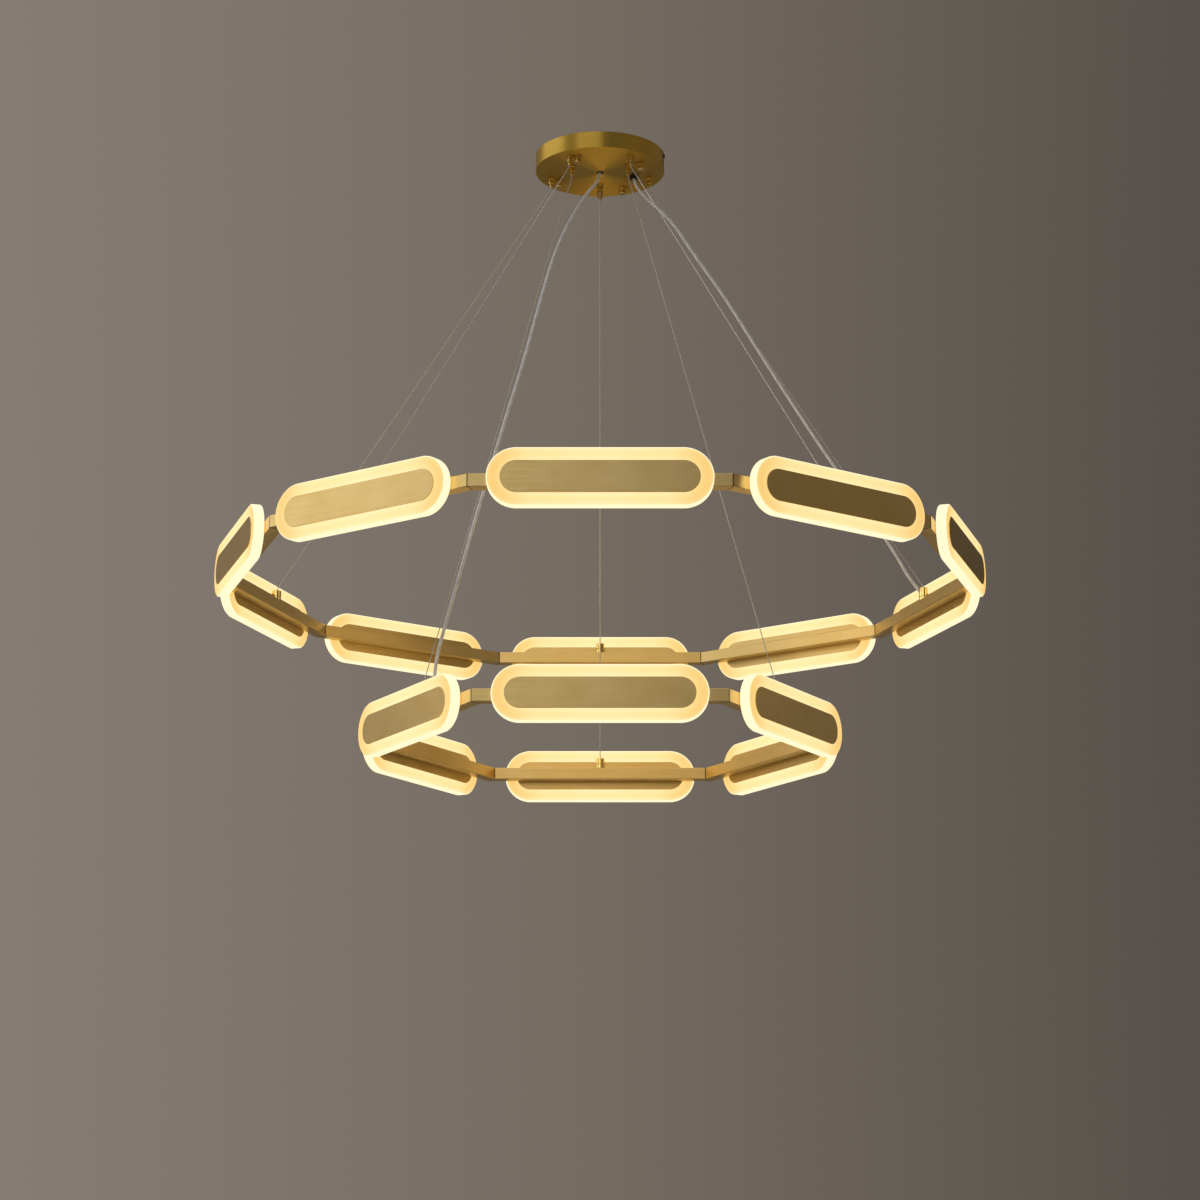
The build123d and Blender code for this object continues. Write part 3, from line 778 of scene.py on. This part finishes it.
def rope_tree() -> NodeTree:
    """Build the tree that lays twisted strands along a route.

    Returns:
        Tree with the inputs Radius, Step, Finish, Strands, Lay Length and Valley.
    """
    extra = {"Strands": "Int", "Lay Length": "Float", "Valley": "Float"}
    tree, take, even = section_tree("stranded_rope", extra)
    length = add_node(tree, "GeometryNodeSplineParameter").outputs["Length"]
    turns = add_node(tree, MATH, {0: length, 1: take["Lay Length"]}, operation="DIVIDE")
    tilt = add_node(tree, MATH, {0: turns, 1: FULL_TURN}, operation="MULTIPLY")
    twisted = add_node(tree, "GeometryNodeSetCurveTilt", {"Curve": even, "Tilt": tilt})
    # Two points for each strand: a valley, which lies nearer the middle, and then its crown.
    count = add_node(tree, MATH, {0: take["Strands"], 1: 2.0}, operation="MULTIPLY")
    outline = {"Resolution": count, "Radius": take["Radius"]}
    circle = add_node(tree, "GeometryNodeCurvePrimitiveCircle", outline)
    index = add_node(tree, "GeometryNodeInputIndex")
    crown = add_node(tree, MATH, {0: index, 1: 2.0}, operation="MODULO")
    share = add_node(tree, MAP_RANGE, {"Value": crown, "To Min": take["Valley"]})
    here = add_node(tree, "GeometryNodeInputPosition")
    scaled = add_node(tree, VECTOR_MATH, {0: here, "Scale": share}, operation="SCALE")
    lobed = add_node(tree, "GeometryNodeSetPosition", {"Geometry": circle, "Position": scaled})
    # The rope's material also uses this crown mark to paint shade into the valleys.
    stored = {"Geometry": lobed, "Name": "crown", "Value": crown}
    marked = add_node(tree, "GeometryNodeStoreNamedAttribute", stored)
    close_section(tree, twisted, marked, take["Finish"])
    return tree


def jacket_tree() -> NodeTree:
    """Build the tree that sweeps a round jacket along a route.

    Returns:
        Tree with the inputs Radius, Step, Finish and Facets.
    """
    tree, take, even = section_tree("cord_jacket", {"Facets": "Int"})
    length = add_node(tree, "GeometryNodeSplineParameter").outputs["Length"]
    stored = {"Geometry": even, "Name": "along", "Value": length}
    measured = add_node(tree, "GeometryNodeStoreNamedAttribute", stored)
    outline = {"Resolution": take["Facets"], "Radius": take["Radius"]}
    circle = add_node(tree, "GeometryNodeCurvePrimitiveCircle", outline)
    here = add_node(tree, "GeometryNodeInputPosition")
    heading = add_node(tree, VECTOR_MATH, {0: here}, operation="NORMALIZE")
    stored = {"Geometry": circle, "Name": "around", "Value": heading}
    marked = add_node(tree, "GeometryNodeStoreNamedAttribute", stored, data_type="FLOAT_VECTOR")
    close_section(tree, measured, marked, take["Finish"])
    return tree


def cover(finishes: Mapping[Finish, Sequence[str]]) -> None:
    """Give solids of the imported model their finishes.

    Args:
        finishes: Names of the nodes that each finish covers.
    """
    for finish, names in finishes.items():
        material = finish.build()
        for name in names:
            solid = bpy.data.objects[name]
            if not solid.material_slots:
                solid.data.materials.append(material)
            for slot in solid.material_slots:
                slot.material = material
            LOG.info("%s: %s", name, material.name)


@dataclass
class Canopy:
    """The pan at the ceiling with its bracket, grippers, cap nuts and electrical parts."""

    underside: float = -0.027
    nose: float = -0.042
    cable_tail: float = -0.0173  # a cable's top end, inside its gripper
    cable_exit: float = 0.002  # a cable runs straight for this far out of a gripper or an anchor
    stud_count: int = 4
    gripper_count: int = 8

    def dress(self) -> None:
        """Give every node of the canopy its finish."""
        pan = BrushedBrass(
            "spun_brass_brushed_round",
            Groove.ROUND_AXIS,
            roughness=0.42,
            anisotropy=0.93,
            bright="E4C562",
            deep="CFA53C",
            cloud_width=0.09,
        )
        black = PlatedMetal(
            "black_oxide_steel", bright="2A2826", dull="171615", metallic=0.7, roughness=0.42, spangle=0.001
        )
        rubber = MouldedPolymer("black_epdm_rubber", "1C1B1A", "121211", roughness=0.6, ior=1.5)
        case = MouldedPolymer("white_polycarbonate", "E9E8E4", "DDDBD5", roughness=0.45, ior=1.58)
        block = MouldedPolymer("natural_polyamide", "E4E0D2", "D3CEBD", roughness=0.5, ior=1.53)
        nuts = [f"cap_nut_{number + 1}" for number in range(self.stud_count)]
        noses = [f"gripper_plunger_{number + 1}" for number in range(self.gripper_count)]
        finishes = {
            pan: ["canopy_pan"],
            turned_brass("turned_brass"): ["gripper_bodies", *nuts, *noses],
            PlatedMetal("zinc_plated_steel"): ["ceiling_bracket", "gripper_lock_nuts"],
            PlatedMetal("zinc_plated_thread", thread_pitch=0.0007): ["bracket_studs"],
            black: ["canopy_side_screw"],
            rubber: ["cord_grommets"],
            case: ["upper_driver", "lower_driver"],
            block: ["terminal_block"],
        }
        cover(finishes)


@dataclass
class RingTier:
    """One ring: its light panels and bars, and the cables and cord that hang and feed it."""

    name: str
    sides: int
    level: float
    gripper_radius: float
    cable_sides: tuple[int, ...]
    cord_side: int
    lift: float  # how far the ring can be raised
    cord_grommet: float
    cord_exit: tuple[Point, ...]  # outward, sideways and up, from the middle of the grommet's hole
    cord_route: tuple[Point, ...]  # share of the cable's run, height over the cable, and sideways
    cord_length: float
    bar_length: float = 0.344
    bar_height: float = 0.018
    anchor_height: float = 0.016
    cord_anchor_height: float = 0.021
    anchor_bore: float = 0.00465
    port_depth: float = 0.012
    port_angle: float = 45.0
    cord_end_inset: float = 0.0025
    cord_last_run: float = 0.0275
    cord_diameter: float = 0.005
    cord_step: float = 0.004
    cord_facets: int = 20
    cable_diameter: float = 0.0015
    cable_strands: int = 6
    cable_lay: float = 0.011
    cable_step: float = 0.0014
    cable_valley: float = 0.95  # a valley's radius as a share of a crown's
    bend_lead: float = 6.0  # diameters from a bend to the point that keeps the taut run straight

    @property
    def apothem(self) -> float:
        """Ring axis to the middle of a bar."""
        return self.bar_length / 2 / math.tan(math.pi / self.sides)

    def azimuth(self, side: int) -> float:
        """Direction of a side in degrees: side 0 is at the back."""
        return 90 - side * 360 / self.sides

    def anchor_top(self, side: int) -> float:
        """Height of the anchor's top on a side."""
        tall = self.cord_anchor_height if side == self.cord_side else self.anchor_height
        return self.level + self.bar_height / 2 + tall

    def dress(self) -> None:
        """Give every node of the ring its finish."""
        side = SideFrame(self.sides, self.level)
        brushed = {"groove": Groove.ALONG_SIDE, "side": side, "roughness": 0.38}
        plates = BrushedBrass(f"{self.name}_brass_plate_brushed", anisotropy=0.8, **brushed)
        bars = BrushedBrass(f"{self.name}_brass_bar_satin", anisotropy=0.78, mitred=True, **brushed)
        alloy = PlatedMetal(
            f"{self.name}_extruded_aluminium", bright="D2D3D5", dull="BFC0C3", roughness=0.42
        )
        panels = [f"diffuser_{number + 1:02d}" for number in range(self.sides)]
        finishes = {
            plates: ["front_plates", "back_plates"],
            bars: ["frame_bars"],
            turned_brass(f"{self.name}_turned_brass"): ["cable_anchors", "cord_anchor"],
            PlatedMetal(f"{self.name}_zinc_plated_screw"): ["panel_screws"],
            alloy: ["led_cores", "corner_joiners"],
            LedTape(f"{self.name}_led_tape", side): ["led_strips"],
            FrostedAcrylic(f"{self.name}_frosted_acrylic", side): panels,
        }
        cover({key: [f"{self.name}_{node}" for node in nodes] for key, nodes in finishes.items()})

    def cable_bends(self, canopy: Canopy, side: int) -> tuple[Span, Span]:
        """Where a cable bends at its gripper and at its anchor.

        Args:
            canopy: The canopy that holds the grippers.
            side: The side that the cable hangs.

        Returns:
            Radius and height of the two bends.
        """
        top = (self.gripper_radius, canopy.nose - canopy.cable_exit)
        return top, (self.apothem, self.anchor_top(side) + canopy.cable_exit)

    def hang_cables(self, canopy: Canopy, tree: NodeTree, finish: Material) -> None:
        """Make the ring's steel cables.

        Args:
            canopy: The canopy that holds them.
            tree: Geometry Nodes tree of the rope.
            finish: Material of the rope.
        """
        values = {
            "Radius": self.cable_diameter / 2,
            "Strands": self.cable_strands,
            "Lay Length": self.cable_lay,
            "Valley": self.cable_valley,
            "Step": self.cable_step,
            "Finish": finish,
        }
        near = self.bend_lead * self.cable_diameter
        for number, side in enumerate(self.cable_sides, start=1):
            top, bottom = self.cable_bends(canopy, side)
            azimuth = self.azimuth(side)
            upper, lower = polar(top[0], azimuth, top[1]), polar(bottom[0], azimuth, bottom[1])
            lead = (lower - upper).normalized() * near
            route = [
                polar(top[0], azimuth, canopy.cable_tail),
                upper + Vector((0, 0, near)),
                upper,
                upper + lead,
                lower - lead,
                lower,
                polar(bottom[0], azimuth, self.anchor_top(side) - self.anchor_bore),
            ]
            swept = SweptPiece(f"{self.name}_cable_{number}", route)
            piece = swept.sweep(tree, values)
            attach(piece, "canopy")
            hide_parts(f"{self.name}_cables")
            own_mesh(piece)
            LOG.info("%s: %d faces", piece.name, len(piece.data.polygons))

    def cord_points(self, canopy: Canopy) -> list[Vector]:
        """Route of the power cord, from its grommet along the cable into the anchor's port.

        Args:
            canopy: The canopy that it leaves.

        Returns:
            The route's points.
        """
        azimuth = self.azimuth(self.cord_side)
        top, bottom = self.cable_bends(canopy, self.cord_side)
        run = Vector((bottom[0] - top[0], bottom[1] - top[1]))
        above = Vector((-run.y, run.x)).normalized()
        places = []
        for out, beside, up in self.cord_exit:
            places.append((self.cord_grommet + out, beside, canopy.underside + up))
        for share, over, beside in self.cord_route:
            radius = top[0] + share * run.x + over * above.x
            places.append((radius, beside, top[1] + share * run.y + over * above.y))
        port = self.anchor_top(self.cord_side) - self.port_depth
        slant = math.radians(self.port_angle)
        for far in (self.cord_end_inset + self.cord_last_run, self.cord_end_inset):
            places.append((self.apothem - far * math.cos(slant), 0.0, port + far * math.sin(slant)))
        return [
            polar(radius, azimuth, up) + polar(beside, azimuth + 90, 0) for radius, beside, up in places
        ]

    def hang_cord(self, canopy: Canopy, tree: NodeTree, finish: Material) -> None:
        """Make the ring's power cord.

        Args:
            canopy: The canopy that it leaves.
            tree: Geometry Nodes tree of the jacket.
            finish: Material of the jacket.
        """
        values = {
            "Radius": self.cord_diameter / 2,
            "Facets": self.cord_facets,
            "Step": self.cord_step,
            "Finish": finish,
        }
        route = self.cord_points(canopy)
        swept = SweptPiece(f"{self.name}_clear_cord", route)
        piece = swept.sweep(tree, values)
        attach(piece, "canopy")
        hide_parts(f"{self.name}_power_cord")
        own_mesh(piece)
        LOG.info("%s: %d faces", piece.name, len(piece.data.polygons))


@dataclass(frozen=True)
class SoftBox:
    """A large soft lamp that faces the rings."""

    name: str
    place: Point
    width: float
    height: float
    radiance: float
    colour: str = "FFFFFF"
    target: Point = (0.0, 0.0, -0.6)

    def build(self) -> None:
        """Make the lamp."""
        lamp = bpy.data.lights.new(self.name, "AREA")
        lamp.shape = "RECTANGLE"
        lamp.size, lamp.size_y = self.width, self.height
        lamp.energy = self.radiance * math.pi * self.width * self.height
        lamp.color = linear(self.colour)[:3]
        holder = add_object(self.name, lamp)
        holder.location = self.place
        heading = Vector(self.target) - Vector(self.place)
        holder.rotation_euler = heading.to_track_quat("-Z", "Y").to_euler()
        holder.visible_camera = False


@dataclass
class Studio:
    """Plain floor, soft light, backdrop tone and the camera."""

    floor_level: float = -5.6
    floor_size: float = 400.0
    floor_colour: str = "DAD6CF"
    floor_roughness: float = 0.9
    # Backdrop tones by the sideways part of a direction: -1 is at the far left.
    wall: tuple[tuple[float, str], ...] = (
        (-1.0, "BDB5A9"),
        (-0.46, "80766B"),
        (-0.2, "857D74"),
        (0.0, "746B61"),
        (0.2, "57514B"),
        (0.46, "332F2A"),
        (0.8, "857B6F"),
        (1.0, "6A6259"),
    )
    boxes: tuple[SoftBox, ...] = (
        SoftBox("left_box", (-3.6, 0.0, 0.25), width=3.5, height=2.2, radiance=1.0, colour="F8FAFF"),
        SoftBox("front_box", (-2.1, -6.0, 0.6), width=5.0, height=2.8, radiance=1.3, colour="F8FAFF"),
        SoftBox("top_box", (0.0, 0.3, 3.6), width=3.6, height=3.6, radiance=1.3),
        SoftBox("back_box", (0.6, 6.0, 1.4), width=3.0, height=2.2, radiance=0.55),
    )
    glow_place: Point = (0.0, 0.0, -0.68)
    glow_radius: float = 0.34
    glow_power: float = 1.9
    glow_colour: str = "FFDA94"
    camera_place: Point = (-0.00015, -4.1443, -1.7381)
    camera_pitch: float = 0.2428  # radians above level
    focal_share: float = 2852.4 / 1200  # focal length over the picture's width, both in pixels
    sensor_width: float = 36.0  # millimetres

    def build(self) -> None:
        """Make the whole studio."""
        self.lay_floor()
        self.paint_world()
        for box in self.boxes:
            box.build()
        self.gather_glow()
        self.aim_camera()

    def lay_floor(self) -> None:
        """Make the pale floor."""
        half = self.floor_size / 2
        mesh = bpy.data.meshes.new("pale_floor")
        corners = [(-half, -half), (half, -half), (half, half), (-half, half)]
        mesh.from_pydata([(x, y, self.floor_level) for x, y in corners], [], [(0, 1, 2, 3)])
        floor = add_object("pale_floor", mesh)
        material, tree = new_material("pale_floor_paint")
        close_surface(tree, {"Base Color": linear(self.floor_colour), "Roughness": self.floor_roughness})
        mesh.materials.append(material)

    def paint_world(self) -> None:
        """Give the surroundings plain tones that change from left to right."""
        world = bpy.data.worlds.new("studio_wall")
        bpy.context.scene.world = world
        world.use_nodes = True
        tree = world.node_tree
        tree.nodes.clear()
        heading = add_node(tree, "ShaderNodeTexCoord").outputs["Generated"]
        across = add_node(tree, SPLIT, {0: heading}).outputs[0]
        share = add_node(tree, MAP_RANGE, {"Value": across, "From Min": -1.0, "From Max": 1.0})
        ramp = add_node(tree, "ShaderNodeValToRGB", {0: share})
        stops = ramp.color_ramp.elements
        stops[0].color, stops[1].color = linear(self.wall[0][1]), linear(self.wall[-1][1])
        for turn, tone in self.wall[1:-1]:
            stops.new((turn + 1) / 2).color = linear(tone)
        backdrop = add_node(tree, "ShaderNodeBackground", {"Color": ramp})
        add_node(tree, "ShaderNodeOutputWorld", {"Surface": backdrop})

    def gather_glow(self) -> None:
        """Put the warm light that both rings throw inwards into one soft lamp at their middle."""
        lamp = bpy.data.lights.new("ring_glow", "POINT")
        lamp.shadow_soft_size = self.glow_radius
        lamp.energy = self.glow_power
        lamp.color = linear(self.glow_colour)[:3]
        holder = add_object("ring_glow", lamp)
        holder.location = self.glow_place
        holder.visible_camera = False

    def aim_camera(self) -> None:
        """Put the camera where the photograph was taken from."""
        camera = bpy.data.cameras.new("viewer")
        camera.sensor_width = self.sensor_width
        camera.lens = self.focal_share * self.sensor_width
        holder = add_object("viewer", camera)
        holder.location = self.camera_place
        holder.rotation_euler = (math.pi / 2 + self.camera_pitch, 0.0, 0.0)
        bpy.context.scene.camera = holder
        bpy.context.scene.view_settings.view_transform = "Standard"


def upper_tier() -> RingTier:
    """Upper ring of ten sides."""
    return RingTier(
        name="upper",
        sides=10,
        level=-0.682,
        gripper_radius=0.080,
        cable_sides=(0, 2, 4, 6, 8),
        cord_side=2,
        lift=0.35,
        cord_grommet=0.055,
        cord_exit=((0.0, 0.0, 0.005), (0.0, 0.0, -0.011), (0.020, -0.001, -0.034)),
        cord_route=(
            (0.08, -0.0010, -0.0045),
            (0.17, -0.0030, -0.005),
            (0.27, -0.0008, -0.005),
            (0.37, -0.0045, -0.005),
            (0.47, -0.0078, -0.005),
            (0.57, -0.0102, -0.005),
            (0.665, -0.0114, -0.005),
            (0.76, -0.0105, -0.005),
            (0.84, -0.0090, -0.0040),
            (0.915, -0.0085, -0.0020),
        ),
        cord_length=0.8005,
    )


def lower_tier() -> RingTier:
    """Lower ring of six sides."""
    return RingTier(
        name="lower",
        sides=6,
        level=-0.922,
        gripper_radius=0.050,
        cable_sides=(0, 2, 4),
        cord_side=4,
        lift=0.20,
        cord_grommet=0.0,
        cord_exit=(
            (0.0, 0.0, 0.005),
            (0.0, 0.0, -0.011),
            (0.019, 0.001, -0.033),
            (0.046, 0.003, -0.074),
        ),
        cord_route=(
            (0.14, -0.0065, 0.005),
            (0.22, -0.0052, 0.005),
            (0.3, -0.0062, 0.005),
            (0.38, -0.0070, 0.005),
            (0.46, -0.0052, 0.005),
            (0.54, -0.0046, 0.005),
            (0.62, -0.0038, 0.005),
            (0.7, -0.0034, 0.005),
            (0.78, -0.0044, 0.005),
            (0.86, -0.0048, 0.005),
            (0.93, -0.0065, 0.0030),
        ),
        cord_length=0.9376,
    )


def main() -> None:
    """Load the solids, dress them, hang the cables and cords, and set up the studio."""
    logging.basicConfig(level=logging.INFO, format="%(message)s")
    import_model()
    canopy = Canopy()
    canopy.dress()
    rope, jacket = rope_tree(), jacket_tree()
    steel = SteelRope("stainless_rope").build()
    clear = ClearJacket("clear_pvc_jacket").build()
    for tier in (upper_tier(), lower_tier()):
        tier.dress()
        tier.hang_cables(canopy, rope, steel)
        tier.hang_cord(canopy, jacket, clear)
    Studio().build()


if __name__ == "__main__":
    main()
